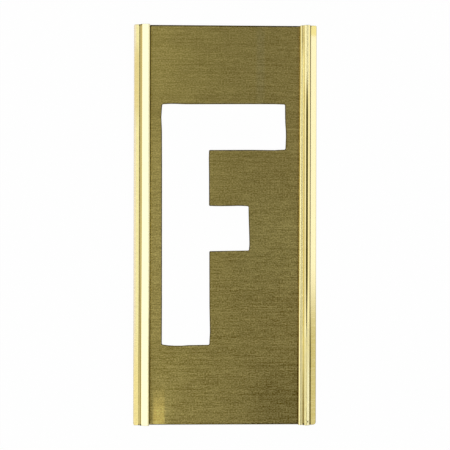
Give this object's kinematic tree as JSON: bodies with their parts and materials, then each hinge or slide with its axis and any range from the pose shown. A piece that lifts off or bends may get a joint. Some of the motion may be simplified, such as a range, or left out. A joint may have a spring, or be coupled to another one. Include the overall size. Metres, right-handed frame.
{
  "type": "lettering stencil",
  "caption": "Flat brass stencil plate with a block capital cut through it, and folded side rails, a tongue and a pocket, that interlock with neighbouring stencils.",
  "frame": {"origin": "middle of the outline on the rest plane, which is the underside of the two rails' feet", "axes": "+Z out of the front face, +Y up the letter and along the rails, +X to the letter's right, from the tongue rail to the pocket rail"},
  "size_m": [0.058, 0.127, 0.0027],
  "materials": {
    "brushed_brass": "brushed across the letter, satin",
    "bright_brass": "bright rolled, lightly brushed across the folds"
  },
  "bodies": {
    "root": {"stencil_plate": "brushed_brass", "tongue_rail": "bright_brass", "pocket_rail": "bright_brass"}
  },
  "joints": []
}
